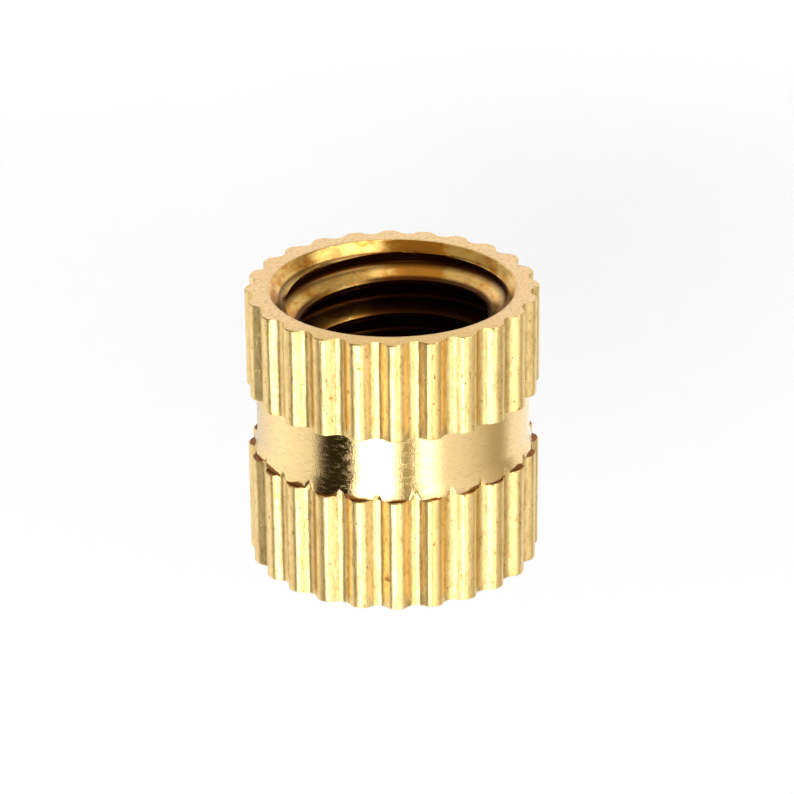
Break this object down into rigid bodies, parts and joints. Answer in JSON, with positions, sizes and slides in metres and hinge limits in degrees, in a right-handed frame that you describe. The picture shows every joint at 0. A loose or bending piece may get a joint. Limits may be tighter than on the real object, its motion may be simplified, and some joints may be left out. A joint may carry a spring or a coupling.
{
  "type": "threaded insert",
  "caption": "Turned brass sleeve with straight-knurled bands either side of a plain neck and a metric thread through it, set into plastic to take a screw.",
  "frame": {"origin": "centre of the lower end face, on the bore's axis", "axes": "+Z along the bore towards the upper end, beside the shorter knurled band; -Y faces the picture's camera, with a ridge on it"},
  "size_m": [0.008, 0.008, 0.0078],
  "materials": {
    "brass": "turned, satin"
  },
  "bodies": {
    "root": {"insert_body": "brass"}
  },
  "joints": []
}
